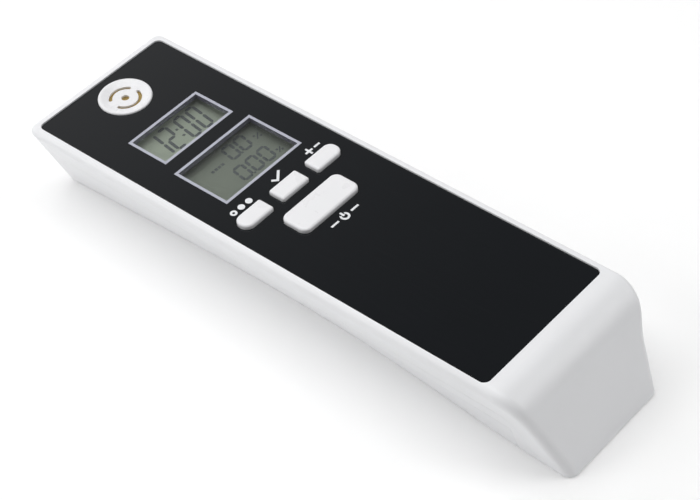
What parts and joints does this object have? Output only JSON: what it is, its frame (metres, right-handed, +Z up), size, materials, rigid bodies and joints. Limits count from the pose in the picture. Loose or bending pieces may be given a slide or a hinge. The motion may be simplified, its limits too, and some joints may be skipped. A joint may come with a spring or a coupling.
{
  "type": "handheld breath alcohol tester",
  "caption": "Slim handheld breath-alcohol tester with clock: white case, glossy black face, dished gas inlet, two displays, sprung buttons and a hinged battery door.",
  "frame": {"origin": "middle of the flat underside, at the surface the tester lies on", "axes": "+Z up out of the face panel, +Y along the body towards the gas inlet, +X the reading direction of the displays"},
  "size_m": [0.0346, 0.1206, 0.0177],
  "materials": {
    "case_plastic": "fine satin moulded white plastic",
    "door_plastic": "fine satin moulded white plastic",
    "button_plastic": "smooth moulded white plastic",
    "panel_acrylic": "glossy black back-printed acrylic",
    "clear_acrylic": "clear acrylic window",
    "frame_ink": "pale silver printed line",
    "symbol_ink": "pale silver printed symbol",
    "lcd_glass": "grey-green reflective display glass",
    "lcd_ink": "dark grey display segments",
    "holder_plastic": "dark moulded frame",
    "elastomer": "striped conductive silicone",
    "light_guide": "milky light guide",
    "circuit_board": "green solder mask over glass fibre",
    "chip_resin": "black moulded resin",
    "chip_ceramic": "tan ceramic chips",
    "tin_plate": "tin-plated steel",
    "spring_steel": "nickel-plated spring wire",
    "screw_steel": "black-zinc screw steel",
    "sensor_brass": "brass-coloured sensor can",
    "sensor_mesh": "woven brass screen and sensor cap",
    "sensor_resin": "dark moulded sensor base",
    "foam": "closed-cell foam",
    "switch_resin": "black switch housing",
    "switch_stem": "ivory switch stem",
    "buzzer_resin": "black sounder case",
    "cell_sleeve": null
  },
  "bodies": {
    "case": {"top_shell": "case_plastic", "bottom_shell": "case_plastic", "face_panel": "panel_acrylic", "clock_window": "clear_acrylic", "result_window": "clear_acrylic", "clock_frame_print": "frame_ink", "result_frame_print": "frame_ink", "mode_mark": "symbol_ink", "set_mark": "symbol_ink", "adjust_mark": "symbol_ink", "power_mark": "symbol_ink", "gas_inlet": "button_plastic", "inlet_screen": "sensor_mesh", "clock_lcd": "lcd_glass", "result_lcd": "lcd_glass", "clock_digits": "lcd_ink", "result_digits": "lcd_ink", "lcd_holder": "holder_plastic", "clock_connector": "elastomer", "result_connector": "elastomer", "clock_backlight": "light_guide", "result_backlight": "light_guide", "main_board": "circuit_board", "controller": "chip_resin", "crystal": "tin_plate", "small_parts": "chip_ceramic", "buzzer": "buzzer_resin", "cell_left": "cell_sleeve", "cell_right": "cell_sleeve", "sensor_base": "sensor_resin", "sensor_can": "sensor_brass", "sensor_cap": "sensor_mesh", "sensor_seal": "foam", "sensor_pins": "tin_plate", "case_screw_left": "screw_steel", "case_screw_right": "screw_steel", "board_screw_left": "screw_steel", "board_screw_right": "screw_steel", "tail_contact": "tin_plate", "positive_contact": "tin_plate", "negative_contact": "tin_plate", "tail_spring": "spring_steel", "head_spring": "spring_steel", "mode_switch": "switch_resin", "set_switch": "switch_resin", "adjust_switch": "switch_resin", "power_switch": "switch_resin"},
    "mode_key": {"mode_button": "button_plastic", "mode_plunger": "switch_stem"},
    "set_key": {"set_button": "button_plastic", "set_plunger": "switch_stem"},
    "adjust_key": {"adjust_button": "button_plastic", "adjust_plunger": "switch_stem"},
    "power_key": {"power_button": "button_plastic", "power_plunger": "switch_stem"},
    "door": {"battery_door": "door_plastic", "door_pad": "foam"}
  },
  "joints": [
    {"name": "mode_press", "type": "slide", "parent": "case", "child": "mode_key", "axis": [0, 0, -1], "range_m": [0, 0.00035], "stiffness_N_per_m": 2000, "springref_m": -0.0002},
    {"name": "set_press", "type": "slide", "parent": "case", "child": "set_key", "axis": [0, 0, -1], "range_m": [0, 0.00035], "stiffness_N_per_m": 2000, "springref_m": -0.0002},
    {"name": "adjust_press", "type": "slide", "parent": "case", "child": "adjust_key", "axis": [0, 0, -1], "range_m": [0, 0.00035], "stiffness_N_per_m": 2000, "springref_m": -0.0002},
    {"name": "power_press", "type": "slide", "parent": "case", "child": "power_key", "axis": [0, 0, -1], "range_m": [0, 0.00035], "stiffness_N_per_m": 2000, "springref_m": -0.0002},
    {"name": "door_swing", "type": "hinge", "parent": "case", "child": "door", "pos_m": [0, -0.0492, 0], "axis": [-1, 0, 0], "range_deg": [0, 40]}
  ]
}
